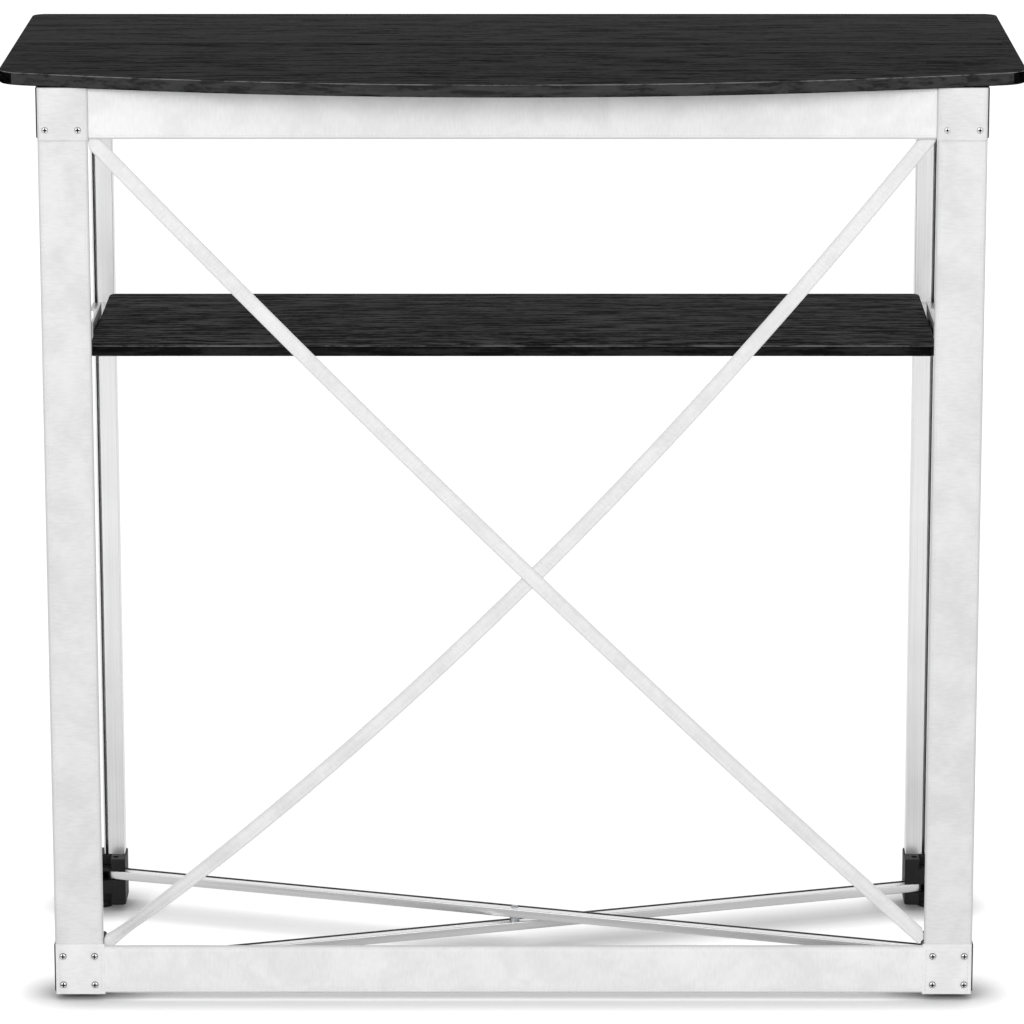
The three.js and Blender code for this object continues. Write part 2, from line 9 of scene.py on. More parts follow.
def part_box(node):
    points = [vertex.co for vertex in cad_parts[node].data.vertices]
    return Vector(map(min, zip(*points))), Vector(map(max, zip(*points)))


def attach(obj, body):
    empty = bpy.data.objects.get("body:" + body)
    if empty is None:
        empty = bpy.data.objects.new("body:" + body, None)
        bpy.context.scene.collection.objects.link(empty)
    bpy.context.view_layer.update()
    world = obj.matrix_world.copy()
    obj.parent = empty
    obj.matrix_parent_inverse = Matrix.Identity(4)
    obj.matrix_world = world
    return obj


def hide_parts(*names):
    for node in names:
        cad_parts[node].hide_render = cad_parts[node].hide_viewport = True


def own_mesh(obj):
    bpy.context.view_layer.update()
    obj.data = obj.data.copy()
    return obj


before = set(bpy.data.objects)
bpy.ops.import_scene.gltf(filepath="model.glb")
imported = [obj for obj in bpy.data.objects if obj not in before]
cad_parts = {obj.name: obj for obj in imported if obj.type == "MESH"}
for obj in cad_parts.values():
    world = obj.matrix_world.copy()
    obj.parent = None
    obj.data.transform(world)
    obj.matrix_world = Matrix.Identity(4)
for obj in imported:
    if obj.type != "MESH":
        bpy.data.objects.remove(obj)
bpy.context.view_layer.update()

# Studio: a white floor under an even white sky, with one large soft lamp on each side of the camera.
# The camera stands about six metres off, a little above the counter, with a long lens; its place, tilt and
# sideways shift are the ones that fit the photograph's frame of 1024 by 1024.
PHOTO_SIDE = 1024
LENS_PIXELS = 5400.7
CAMERA_PLACE = (0.034, -6.070, 1.993)
CAMERA_TILT = 0.237
PRINCIPAL_POINT_X = 543.4
SENSOR_MM = 36.0
CLIP_END = 60.0

camera_data = bpy.data.cameras.new("camera")
camera_data.sensor_width = SENSOR_MM
camera_data.lens = LENS_PIXELS / PHOTO_SIDE * SENSOR_MM
camera_data.shift_x = (PHOTO_SIDE / 2 - PRINCIPAL_POINT_X) / PHOTO_SIDE
camera_data.clip_end = CLIP_END
camera = bpy.data.objects.new("camera", camera_data)
camera.location = CAMERA_PLACE
camera.rotation_euler = (math.pi / 2 - CAMERA_TILT, 0.0, 0.0)
bpy.context.scene.collection.objects.link(camera)
bpy.context.scene.camera = camera
bpy.context.scene.view_settings.view_transform = "Standard"


def linear(code):
    """An sRGB hex colour as linear red, green, blue and full alpha, by the standard two-part curve."""
    srgb = np.array([int(code[i:i + 2], 16) for i in (1, 3, 5)]) / 255
    rgb = np.where(srgb <= 0.04045, srgb / 12.92, ((srgb + 0.055) / 1.055) ** 2.4)
    return (*rgb.tolist(), 1.0)


def add(tree, kind, settings=None, values=None, links=None):
    """A new node of that kind: settings are its properties, values its sockets' own numbers and links the
    outputs that feed it."""
    made = tree.nodes.new(kind)
    for name, value in (settings or {}).items():
        setattr(made, name, value)
    for name, value in (values or {}).items():
        made.inputs[name].default_value = value
    for name, output in (links or {}).items():
        tree.links.new(output, made.inputs[name])
    return made


def new_material(name, **values):
    """A material with one Principled shader, its sockets set to the given values by their names."""
    made = bpy.data.materials.new(name)
    made.use_nodes = True
    shader = made.node_tree.nodes["Principled BSDF"]
    for socket, value in values.items():
        shader.inputs[socket.replace("_", " ")].default_value = value
    return made, made.node_tree, shader


def maths(tree, operation, *inputs):
    """The output of a maths node; each of its inputs is a number or another node's output."""
    made = add(tree, "ShaderNodeMath", {"operation": operation})
    for socket, value in zip(made.inputs, inputs):
        if isinstance(value, float):
            socket.default_value = value
        else:
            tree.links.new(value, socket)
    return made.outputs[0]


def seen_directly(tree):
    """1 for rays from the camera, a mirror or glass, and 0 for the light that falls on things."""
    ray = add(tree, "ShaderNodeLightPath").outputs
    mirrored = maths(tree, "MAXIMUM", ray["Is Camera Ray"], ray["Is Glossy Ray"])
    return maths(tree, "MAXIMUM", mirrored, ray["Is Transmission Ray"])


SKY_LIGHT = 0.60
world = bpy.data.worlds.new("white_sky")
bpy.context.scene.world = world
world.use_nodes = True
sky = world.node_tree
sky_light = sky.nodes["Background"]
sky_light.inputs["Color"].default_value = linear("#FFFFFF")
sky_light.inputs["Strength"].default_value = SKY_LIGHT
sky_seen = add(sky, "ShaderNodeBackground", values={"Color": linear("#FFFFFF"), "Strength": 1.0})
sky_mix = add(sky, "ShaderNodeMixShader", links={"Fac": seen_directly(sky)})
sky.links.new(sky_light.outputs[0], sky_mix.inputs[1])
sky.links.new(sky_seen.outputs[0], sky_mix.inputs[2])
sky.links.new(sky_mix.outputs[0], sky.nodes["World Output"].inputs["Surface"])

FLOOR_HALF = 14.0
GLOW_NEAR, GLOW_FAR, GLOW_START, GLOW_END = 0.68, 0.74, 1.2, 4.0
SHADE_REACH, SHADE_POWER, SHADE_SAMPLES = 0.055, 3.2, 12
floor_mesh = bpy.data.meshes.new("floor")
floor_corners = np.array([(-1, -1, 0), (1, -1, 0), (1, 1, 0), (-1, 1, 0)]) * FLOOR_HALF
floor_mesh.from_pydata(floor_corners.tolist(), [], [(0, 1, 2, 3)])
floor = bpy.data.objects.new("floor", floor_mesh)
bpy.context.scene.collection.objects.link(floor)
paper, paper_tree, paper_shader = new_material(
    "white_paper_floor", Base_Color=linear("#C8C8C8"), Roughness=1.0, Specular_IOR_Level=0.0)
paper_place = add(paper_tree, "ShaderNodeTexCoord")
paper_reach = add(
    paper_tree, "ShaderNodeVectorMath", {"operation": "LENGTH"}, links={0: paper_place.outputs["Object"]})
paper_level = add(
    paper_tree, "ShaderNodeMapRange",
    values={"From Min": GLOW_START, "From Max": GLOW_END, "To Min": GLOW_NEAR, "To Max": GLOW_FAR},
    links={"Value": paper_reach.outputs["Value"]})
paper_nook = add(
    paper_tree, "ShaderNodeAmbientOcclusion", {"samples": SHADE_SAMPLES}, {"Distance": SHADE_REACH})
paper_shade = maths(paper_tree, "POWER", paper_nook.outputs["AO"], SHADE_POWER)
paper_lit = maths(paper_tree, "MULTIPLY", paper_shade, paper_level.outputs["Result"])
paper_glow = maths(paper_tree, "MULTIPLY", seen_directly(paper_tree), paper_lit)
paper_shader.inputs["Emission Color"].default_value = linear("#FFFFFF")
paper_tree.links.new(paper_glow, paper_shader.inputs["Emission Strength"])
floor_mesh.materials.append(paper)

LAMP_SIZE, LAMP_AIM = 2.4, (0.0, 0.0, 0.5)
for lamp_name, lamp_place, lamp_power in (
    ("lamp_left", (-2.2, -4.1, 2.2), 69.0),
    ("lamp_right", (2.2, -4.1, 2.2), 63.0),
):
    lamp_data = bpy.data.lights.new(lamp_name, "AREA")
    lamp_data.shape = "DISK"
    lamp_data.size = LAMP_SIZE
    lamp_data.energy = lamp_power
    lamp = bpy.data.objects.new(lamp_name, lamp_data)
    lamp.location = lamp_place
    aim = np.array(LAMP_AIM) - np.array(lamp_place)
    lamp.rotation_euler = (
        math.atan2(math.hypot(aim[0], aim[1]), -aim[2]), 0.0, math.atan2(aim[1], aim[0]) - math.pi / 2)
    bpy.context.scene.collection.objects.link(lamp)

# Corner hubs: injection-moulded black nylon blocks, one at the foot and one at the head of each leg.
# Each has a leg socket and, halfway up, a slot open on its two inner sides where a scissor bar's end turns
# on an upright pin. The moulding leaves rounded edges and a fine spark-eroded texture.
HUB_EDGE = 0.0016
HUB_CORNER = 0.0045
SLOT_REACH, SLOT_DEPTH, LUG_WIDTH = 0.030, 0.0215, 0.018
LEG_NOTCH, FAR_NOTCH, FAR_NOTCH_DEPTH, BLOCK_LAP = 0.012, 0.014, 0.016, 0.002
BAR_BREADTH, BAR_THICKNESS = 0.018, 0.0105
SLOT_HEIGHT = BAR_THICKNESS + 0.0005
NYLON_GRAIN, NYLON_WEAR = 0.0011, 0.018
WALL_LAP = 0.001
WELL_GAP, WELL_DEPTH, PIN_WELL = 0.0006, 0.008, 0.0038


def grid_faces(rings, around):
    """Quads of a grid of rings that close on themselves, as an array of four corner numbers each."""
    ring, point = np.meshgrid(np.arange(rings - 1), np.arange(around), indexing="ij")
    after = (point + 1) % around
    low, high = ring * around, (ring + 1) * around
    return np.stack([low + point, low + after, high + after, high + point], axis=-1).reshape(-1, 4)


def closed_tube(rings):
    """Points and faces of a closed solid from rings of shape (rings, around, 3), capped at both ends."""
    count, around = rings.shape[:2]
    faces = grid_faces(count, around).tolist()
    faces.append(list(range(around))[::-1])
    faces.append(list(range((count - 1) * around, count * around)))
    return rings.reshape(-1, 3), faces


def joined(solids):
    """Several lists of points and faces as one."""
    points, faces, start = [], [], 0
    for some_points, some_faces in solids:
        points.append(some_points)
        faces += [[start + corner for corner in face] for face in some_faces]
        start += len(some_points)
    return np.concatenate(points), faces


def arc(centre, radius, start, end, steps):
    """Points on a circle's arc between two angles in degrees."""
    angle = np.radians(np.linspace(start, end, steps))
    return np.stack([centre[0] + radius * np.cos(angle), centre[1] + radius * np.sin(angle)], axis=-1)


def rounded_rectangle(x0, x1, y0, y1, radius, steps=7):
    """A rectangle's outline, anticlockwise, with each corner a quarter circle."""
    x0, x1 = min(x0, x1), max(x0, x1)
    y0, y1 = min(y0, y1), max(y0, y1)
    return np.concatenate([
        arc((x1 - radius, y1 - radius), radius, 0, 90, steps),
        arc((x0 + radius, y1 - radius), radius, 90, 180, steps),
        arc((x0 + radius, y0 + radius), radius, 180, 270, steps),
        arc((x1 - radius, y0 + radius), radius, 270, 360, steps)])


def outward(outline):
    """Unit normals of an anticlockwise outline: each chord between neighbours, turned a quarter clockwise."""
    chord = np.roll(outline, -1, axis=0) - np.roll(outline, 1, axis=0)
    normal = np.stack([chord[:, 1], -chord[:, 0]], axis=-1)
    return normal / np.linalg.norm(normal, axis=1, keepdims=True)


def slab(outline, low, high, rounding, wells=(), steps=5):
    """A plan raised between two heights, its edges a quarter round: inset r(1 - sin a) and rise r(1 - cos a).
    Each well is an outline and a depth sunk in the top face, which is cut up round it."""
    angle = np.linspace(0, math.pi / 2, steps)
    inset = rounding * (1 - np.sin(angle))
    rise = rounding * (1 - np.cos(angle))
    insets = np.concatenate([inset, inset[::-1]])
    heights = np.concatenate([low + rise, (high - rise)[::-1]])
    plan = outline[None] - outward(outline)[None] * insets[:, None, None]
    height = np.broadcast_to(heights[:, None, None], (*plan.shape[:2], 1))
    points, faces = closed_tube(np.concatenate([plan, height], axis=-1))
    if not wells:
        return points, faces
    loops = [faces.pop()]
    for well, depth in wells:
        rings = np.stack([np.column_stack([well[::-1], np.full(len(well), z)]) for z in (high, high - depth)])
        well_points, well_faces = closed_tube(rings)
        start = len(points)
        faces += [[start + corner for corner in face] for face in well_faces if list(face) != well_faces[-2]]
        loops.append(list(range(start, start + len(well))))
        points = np.concatenate([points, well_points])
    flat = [corner for loop in loops for corner in loop]
    cut = tessellate_polygon([[Vector(points[corner]) for corner in loop] for loop in loops])
    for triangle in cut:
        corners = [flat[i] for i in triangle]
        edge_a, edge_b = points[corners[1]] - points[corners[0]], points[corners[2]] - points[corners[0]]
        faces.append(corners if np.cross(edge_a, edge_b)[2] > 0 else corners[::-1])
    return points, faces


def upside_down(solid, middle):
    """The same solid turned over about a height, by mirroring its points and turning its faces."""
    points, faces = solid
    return points * (1, 1, -1) + (0, 0, 2 * middle), [list(face)[::-1] for face in faces]


def piece(name, solid, material, body, replaced=(), sharp=38.0, others=(), choice=None):
    """One finished object from points and faces: smooth shaded, sharp past that angle, on its body.
    Other materials go to the faces whose number in choice is above nought."""
    points, faces = solid
    mesh = bpy.data.meshes.new(name)
    mesh.from_pydata(np.asarray(points).tolist(), [], faces)
    mesh.polygons.foreach_set("use_smooth", [True] * len(mesh.polygons))
    mesh.set_sharp_from_angle(angle=math.radians(sharp))
    for one in (material, *others):
        mesh.materials.append(one)
    if choice is not None:
        mesh.polygons.foreach_set("material_index", np.asarray(choice, np.int32))
    mesh.update()
    made = bpy.data.objects.new(name, mesh)
    bpy.context.scene.collection.objects.link(made)
    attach(made, body)
    if replaced:
        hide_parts(*replaced)
    return made


def noise(tree, place, cells, **values):
    """The level of noise over those coordinates. Its cells have one size in metres, or one along each axis,
    and the texture's scale is one over the size."""
    scale = 1.0
    if isinstance(cells, tuple):
        scales = [1.0 / cell for cell in cells]
        place = add(tree, "ShaderNodeMapping", values={"Scale": scales}, links={"Vector": place}).outputs[0]
    else:
        scale = 1.0 / cells
    made = add(tree, "ShaderNodeTexNoise", values={"Scale": scale, **values}, links={"Vector": place})
    return made.outputs["Fac"]


def ramp(tree, level, *stops):
    """The colour that a ramp gives for a level; each stop is a position and a colour."""
    made = add(tree, "ShaderNodeValToRGB", links={"Fac": level})
    first, *middle, last = stops
    for element, (position, colour) in zip(made.color_ramp.elements, (first, last)):
        element.position, element.color = position, colour
    for position, colour in middle:
        made.color_ramp.elements.new(position).color = colour
    return made.outputs["Color"]


def bump(tree, strength, distance, **links):
    """The normal of a surface raised by the output linked as its height."""
    made = add(tree, "ShaderNodeBump", values={"Strength": strength, "Distance": distance}, links=links)
    return made.outputs["Normal"]


def feed(tree, shader, **outputs):
    """Links outputs to the shader's sockets by their names."""
    for socket, output in outputs.items():
        tree.links.new(output, shader.inputs[socket.replace("_", " ")])


# Moulded nylon is black and dull, faintly paler where hands have polished it, with a fine matt grain.
nylon, nylon_tree, nylon_shader = new_material(
    "moulded_black_nylon", Roughness=0.55, IOR=1.53, Specular_IOR_Level=0.2)
nylon_place = add(nylon_tree, "ShaderNodeTexCoord").outputs["Object"]
nylon_texture = noise(nylon_tree, nylon_place, NYLON_GRAIN, Detail=3.0)
nylon_wear = noise(nylon_tree, nylon_place, NYLON_WEAR, Detail=4.0)
feed(nylon_tree, nylon_shader,
     Base_Color=ramp(nylon_tree, nylon_wear, (0.35, linear("#090909")), (0.75, linear("#121213"))),
     Normal=bump(nylon_tree, strength=0.35, distance=0.0002, Height=nylon_texture))

CORNERS = (("front_left", -1, -1), ("front_right", 1, -1), ("rear_left", -1, 1), ("rear_right", 1, 1))
LEVELS = ("bottom", "top")


def hub_solid(low, high, side, end, slot_middle, level, leg, pin):
    """The block round the leg's end, a lug above and below the bar's slot, and a web beside each lug.
    It is built for a bottom hub and turned over for a top one."""
    middle = (low.z + high.z) / 2
    slot = slot_middle if level == "bottom" else 2 * middle - slot_middle
    slot_low, slot_high = slot - SLOT_HEIGHT / 2, slot + SLOT_HEIGHT / 2
    inner_x, outer_x = (high.x, low.x) if side < 0 else (low.x, high.x)
    inner_y, outer_y = (high.y, low.y) if end < 0 else (low.y, high.y)
    leg_face = leg[1].y if end < 0 else leg[0].y
    lug_x, wall_x = inner_x + side * LUG_WIDTH, inner_x + side * SLOT_REACH
    wall_y = inner_y + end * SLOT_DEPTH
    block = rounded_rectangle(inner_x, outer_x, leg_face - end * BLOCK_LAP, outer_y, HUB_CORNER)
    lug = rounded_rectangle(inner_x, lug_x, inner_y, leg_face + end * BLOCK_LAP, HUB_CORNER)
    web = rounded_rectangle(lug_x - side * HUB_CORNER, outer_x, inner_y, leg_face + end * BLOCK_LAP, HUB_EDGE)
    foot_web = rounded_rectangle(inner_x + side * HUB_CORNER, outer_x, inner_y + end * FAR_NOTCH_DEPTH,
                                 leg_face + end * BLOCK_LAP, HUB_EDGE)
    side_wall = rounded_rectangle(wall_x, outer_x - side * HUB_EDGE, inner_y + end * HUB_EDGE,
                                  outer_y - end * HUB_EDGE, HUB_EDGE)
    back_wall = rounded_rectangle(inner_x + side * HUB_EDGE, outer_x - side * HUB_EDGE, wall_y,
                                  leg_face + end * BLOCK_LAP, HUB_EDGE)
    socket = rounded_rectangle(leg[0].x - WELL_GAP, leg[1].x + WELL_GAP,
                               leg[0].y - WELL_GAP, leg[1].y + WELL_GAP, WELL_GAP, 3)
    bore = arc(((pin[0].x + pin[1].x) / 2, (pin[0].y + pin[1].y) / 2), PIN_WELL, 0, 345, 24)
    solid = joined([
        slab(block, low.z, high.z, HUB_EDGE, [(socket, WELL_DEPTH)]),
        slab(lug, slot_high, high.z, HUB_EDGE, [(bore, WELL_DEPTH)]),
        slab(lug, low.z, slot_low, HUB_EDGE),
        slab(web, slot_high, high.z - LEG_NOTCH, HUB_EDGE / 2),
        slab(web, low.z + FAR_NOTCH, slot_low, HUB_EDGE / 2),
        slab(foot_web, low.z, slot_low, HUB_EDGE / 2),
        slab(side_wall, slot_low - WALL_LAP, slot_high + WALL_LAP, HUB_EDGE / 2),
        slab(back_wall, slot_low - WALL_LAP, slot_high + WALL_LAP, HUB_EDGE / 2)])
    return solid if level == "bottom" else upside_down(solid, middle)


for corner, side, end in CORNERS:
    pair = "a" if side * end < 0 else "b"
    for level in LEVELS:
        node = f"{corner}_{level}_hub"
        bar_low, bar_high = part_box(f"{level}_bar_{pair}")
        low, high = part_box(node)
        solid = hub_solid(low, high, side, end, (bar_low.z + bar_high.z) / 2, level,
                          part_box(f"{corner}_leg"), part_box(f"{corner}_{level}_pin"))
        piece(f"{node}_moulding", solid, nylon, f"{corner}_corner", [node])

# Feet: tapered pads of black rubber pressed under the bottom hubs, moulded with a soft rounded rim.
# Rubber is matt, a little grey from the floor's dust.
FOOT_RIM, FOOT_TAPER = 0.0012, 0.0015
NEAR_NOUGHT = 1e-5


def turned(profile, centre, sides=40):
    """A profile of (radius, height) points carried round an upright axis through centre."""
    angle = np.linspace(0, 2 * math.pi, sides, endpoint=False)
    profile = np.asarray(profile, float)
    height = np.broadcast_to(profile[:, 1:], (len(profile), sides))
    rings = np.stack([profile[:, :1] * np.cos(angle), profile[:, :1] * np.sin(angle), height], axis=-1)
    return closed_tube(rings + np.asarray(centre))


def floor_point(low, high):
    """The point on the floor under the middle of a box."""
    return ((low.x + high.x) / 2, (low.y + high.y) / 2, 0.0)


def between(tree, level, low, high):
    """A level from nought to one carried over to the range between two values."""
    made = add(tree, "ShaderNodeMapRange", values={"To Min": low, "To Max": high}, links={"Value": level})
    return made.outputs["Result"]


def mottled(name, cell, dark, light, rough=None, ends=(0.35, 0.65), detail=4.0, **values):
    """A material clouded by noise of one cell size, which sets its tone between two ends of a ramp and, where
    two are given, its roughness between two levels."""
    made, tree, shader = new_material(name, **values)
    cloud = noise(tree, add(tree, "ShaderNodeTexCoord").outputs["Object"], cell, Detail=detail)
    feed(tree, shader, Base_Color=ramp(tree, cloud, (ends[0], linear(dark)), (ends[1], linear(light))))
    if rough:
        feed(tree, shader, Roughness=between(tree, cloud, *rough))
    return made


rubber = mottled("moulded_black_rubber", 0.006, "#121212", "#2A2A2A", ends=(0.0, 1.0), detail=5.0,
                 Roughness=0.85, IOR=1.52, Specular_IOR_Level=0.2)
for corner, side, end in CORNERS:
    low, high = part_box(f"{corner}_foot")
    radius = (high.x - low.x) / 2
    narrow = radius - FOOT_TAPER
    profile = [(NEAR_NOUGHT, low.z), (narrow - FOOT_RIM, low.z), (narrow, low.z + FOOT_RIM),
               (radius, high.z - FOOT_RIM), (radius - FOOT_RIM, high.z), (NEAR_NOUGHT, high.z)]
    piece(f"{corner}_foot_pad", turned(profile, floor_point(low, high)), rubber, f"{corner}_corner",
          [f"{corner}_foot"])

# Legs: satin-anodised aluminium channel, a 25 mm square with a slot along its inner face near the outer edge.
# The extrusion leaves fine straight lines along the leg; anodising makes it pale and even.
LEG_WALL, LEG_SLOT, LEG_ROUND = 0.0018, 0.0036, 0.0008
LINE_WIDTH, LINE_RUN, LINE_SHADE, CLOUD_CELL = 0.0009, 0.25, 0.86, 0.05


def swept(profile, path, across, up):
    """A closed profile of (across, up) points carried along a path; across and up are one vector or many."""
    path = np.asarray(path, float)
    across = np.broadcast_to(np.asarray(across, float), path.shape)
    up = np.broadcast_to(np.asarray(up, float), path.shape)
    profile = np.asarray(profile, float)
    return path[:, None] + across[:, None] * profile[None, :, :1] + up[:, None] * profile[None, :, 1:]


def aluminium(name, along, turn=0.0, tone="#C6C6C6"):
    """Aluminium with fine extrusion lines along one axis of the object, turned about Z where asked, and soft
    clouds in its shine."""
    made, tree, shader = new_material(name, Metallic=1.0, Roughness=0.38)
    place = add(tree, "ShaderNodeTexCoord").outputs["Object"]
    turned_place = add(
        tree, "ShaderNodeMapping", values={"Rotation": (0.0, 0.0, -turn)}, links={"Vector": place}).outputs[0]
    lines = noise(
        tree, turned_place, tuple(LINE_RUN if axis == along else LINE_WIDTH for axis in "xyz"), Detail=3.0)
    cloud = noise(tree, place, CLOUD_CELL, Detail=3.0)
    shaded = tuple(LINE_SHADE * level for level in linear(tone)[:3]) + (1.0,)
    feed(tree, shader, Base_Color=ramp(tree, lines, (0.3, shaded), (0.7, linear(tone))),
         Roughness=between(tree, cloud, low=0.32, high=0.46),
         Normal=bump(tree, strength=0.12, distance=0.0001, Height=lines))
    return made


def channel_profile(half, side, end):
    """The leg's section: a square tube open by one slot on the side that faces the frame's inside."""
    inner = half - LEG_WALL
    slot_in = inner - LEG_SLOT
    r = LEG_ROUND
    section = np.array([
        (inner, -half), (half - r, -half), (half, -half + r), (half, half - r), (half - r, half),
        (-half + r, half), (-half, half - r), (-half, -half + r), (-half + r, -half), (slot_in, -half),
        (slot_in, -inner), (-inner, -inner), (-inner, inner), (inner, inner)])
    section = section * (side, end)
    return section if side * end > 0 else section[::-1]


leg_metal = aluminium("anodised_leg_channel", "z", tone="#E4E4E4")
for corner, side, end in CORNERS:
    low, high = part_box(f"{corner}_leg")
    path = np.array(floor_point(low, high)) + [(0, 0, z) for z in np.linspace(low.z, high.z, 3)]
    section = channel_profile((high.x - low.x) / 2, side, end)
    piece(f"{corner}_leg_channel", closed_tube(swept(section, path, (1, 0, 0), (0, 1, 0))), leg_metal,
          f"{corner}_corner", [f"{corner}_leg"], sharp=30.0)

# Scissor bars: flat aluminium tube, mill finish, two crossed at the foot and two at the head.
# The die leaves softly rounded edges and a groove along the top near the rear edge. Each round end turns in a
# hub's slot. The top and bottom take a paler copy of the aluminium and the upright sides a darker one,
# painted light and painted shade; the groove is painted shade.
BAR_ROUND, BAR_WALL, BAR_GROOVE, GROOVE_DEPTH = 0.0012, 0.0016, 0.0065, 0.006
pin_front, pin_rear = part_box("front_right_bottom_pin"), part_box("rear_right_bottom_pin")
pin_x = (pin_front[0].x + pin_front[1].x) / 2
pin_y = (pin_rear[0].y + pin_rear[1].y - pin_front[0].y - pin_front[1].y) / 4
bar_angle = math.atan2(pin_y, pin_x)


def bar_section():
    """The tube's section: a flat rounded rectangle whose top has a groove near its rear edge."""
    half, rise = BAR_BREADTH / 2, BAR_THICKNESS / 2
    outline = rounded_rectangle(-half, half, -rise, rise, BAR_ROUND, 4)
    far, near = half - BAR_WALL, half - BAR_WALL - BAR_GROOVE
    groove = np.array([(far, rise), (far, rise - GROOVE_DEPTH), (near, rise - GROOVE_DEPTH), (near, rise)])
    first = np.flatnonzero((outline[:, 0] > 0) & np.isclose(outline[:, 1], rise))[-1] + 1
    return np.concatenate([outline[:first], groove, outline[first:]]), first


# Painted shade in the groove: a dull dark grey line beside the bright face.
groove_shade = mottled("painted_shade_in_groove", 0.009, "#4A4A4A", "#5C5C5C", (0.7, 0.9), Metallic=0.5)
bar_turn = np.radians(np.linspace(84, 0, 9))
bar_steps = math.hypot(pin_x, pin_y) + BAR_BREADTH / 2 * np.sin(bar_turn)
bar_steps = np.concatenate([-bar_steps, bar_steps[::-1]])
bar_share = np.concatenate([np.cos(bar_turn), np.cos(bar_turn)[::-1]])
section, groove_first = bar_section()
in_groove = np.isin(np.arange(len(section)), groove_first + np.arange(3))
run = np.roll(section, -1, axis=0) - section
on_side = (abs(run[:, 1]) > abs(run[:, 0])) & ~in_groove
# Each face takes the paler copy (0), the groove's painted shade (1) or the sides' painted shade (2).
bar_choice = np.concatenate([np.tile(in_groove + 2 * on_side, len(bar_steps) - 1), [2, 2]])
for pair, turn in (("a", -bar_angle), ("b", bar_angle)):
    bar_painted_light = aluminium(f"painted_light_mill_finish_bar_{pair}", "x", turn, tone="#F0F0F0")
    bar_painted_shade_side = aluminium(f"painted_shade_side_of_bar_{pair}", "x", turn, tone="#CACACA")
    direction = np.array([math.cos(turn), math.sin(turn), 0.0])
    sideways = np.array([-math.sin(turn), math.cos(turn), 0.0])
    for level in LEVELS:
        low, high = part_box(f"{level}_bar_{pair}")
        centre = np.array(((low + high) / 2)[:])
        path = centre + bar_steps[:, None] * direction
        rings = swept(section, path, bar_share[:, None] * sideways, (0, 0, 1))
        piece(f"{level}_bar_{pair}_tube", closed_tube(rings), bar_painted_light, f"bar_pair_{pair}",
              [f"{level}_bar_{pair}"], sharp=30.0, others=[groove_shade, bar_painted_shade_side], choice=bar_choice)

# Rivets and pins: bright zinc-plated steel, turned. A rivet joins each crossed pair at its middle, where its
# collar keeps the bars apart, and a pin holds each bar's end in its hub. Plating gives a cloudy shine.
zinc = mottled("bright_zinc_plate", 0.002, "#8E9194", "#BFC2C4", (0.22, 0.42), ends=(0.0, 1.0), Metallic=1.0)
RIVET_HEAD, RIVET_RISE, RIVET_SHANK, RIVET_COLLAR = 0.0042, 0.002, 0.0026, 0.00245
for level in LEVELS:
    low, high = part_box(f"{level}_rivet")
    collar, middle = (high.x - low.x) / 2, (low.z + high.z) / 2
    foot = high.z - middle - RIVET_RISE
    quarter = np.linspace(0, math.pi / 2 - 0.01, 7)
    half = [(collar, RIVET_COLLAR), (RIVET_SHANK, RIVET_COLLAR), (RIVET_SHANK, foot)]
    half += [(RIVET_HEAD * math.cos(a), foot + RIVET_RISE * math.sin(a)) for a in quarter]
    profile = [(r, middle - h) for r, h in half[::-1]] + [(r, middle + h) for r, h in half]
    piece(f"{level}_rivet_turned", turned(profile, floor_point(low, high)), zinc, "frame_centre",
          [f"{level}_rivet"])
PIN_SUNK, PIN_PROUD, PIN_EASE = 0.003, 0.0005, 0.0005
for corner, side, end in CORNERS:
    for level in LEVELS:
        low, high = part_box(f"{corner}_{level}_pin")
        hub_low, hub_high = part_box(f"{corner}_{level}_hub")
        bottom = hub_low.z + (PIN_SUNK if level == "top" else PIN_PROUD)
        top = hub_high.z - (PIN_SUNK if level == "bottom" else PIN_PROUD)
        radius = (high.x - low.x) / 2
        profile = [(NEAR_NOUGHT, bottom), (radius - PIN_EASE, bottom), (radius, bottom + PIN_EASE),
                   (radius, top - PIN_EASE), (radius - PIN_EASE, top), (NEAR_NOUGHT, top)]
        piece(f"{corner}_{level}_pin_turned", turned(profile, floor_point(low, high), 24), zinc,
              f"{corner}_corner", [f"{corner}_{level}_pin"])

# Canvas front: white polyester canvas, doubled and stitched along both edges, wrapped round the front of the
# frame. Each corner has a sewn patch that the screws go through. The long bands are slack enough to ripple.
CANVAS_THREAD, WEAVE_SHADE = 0.0016, 0.2
SLUB_LENGTH, SLUB_WIDTH, SLUB_SHADE = 0.012, 0.0026, 0.5
STITCH_LENGTH, STITCH_PITCH, STITCH_RADIUS = 0.0032, 0.0046, 0.0004
HEM, HEM_EDGE, HEM_SIDE, HEM_FLAT, HEM_GROOVE = 0.0042, 0.0005, 0.001, 0.004, 0.0003
RIM_WIDTH, CREASE_CELL = 0.0006, 0.045
RIPPLE_LENGTHS, RIPPLE_SLANT, RIPPLE_FADE = (0.21, 0.12, 0.066), 9, 0.03
POST_RIPPLE, BAND_RIPPLE, PATCH_RIPPLE = 0.0011, 0.0010, 0.0006
POST_SEED, BAND_SEED, PATCH_SEED = 11, 23, 31
BAND_WIDTH, BAND_STEP, SEAM_END = 0.057, 0.006, 0.003
FRONT_CORNERS = ((-1, "front_left"), (1, "front_right"))
PATCH_THICKNESS, FLUSH_THICKNESS, PATCH_LAP, PATCH_EDGE = 0.0032, 0.0019, 0.0012, 0.0016


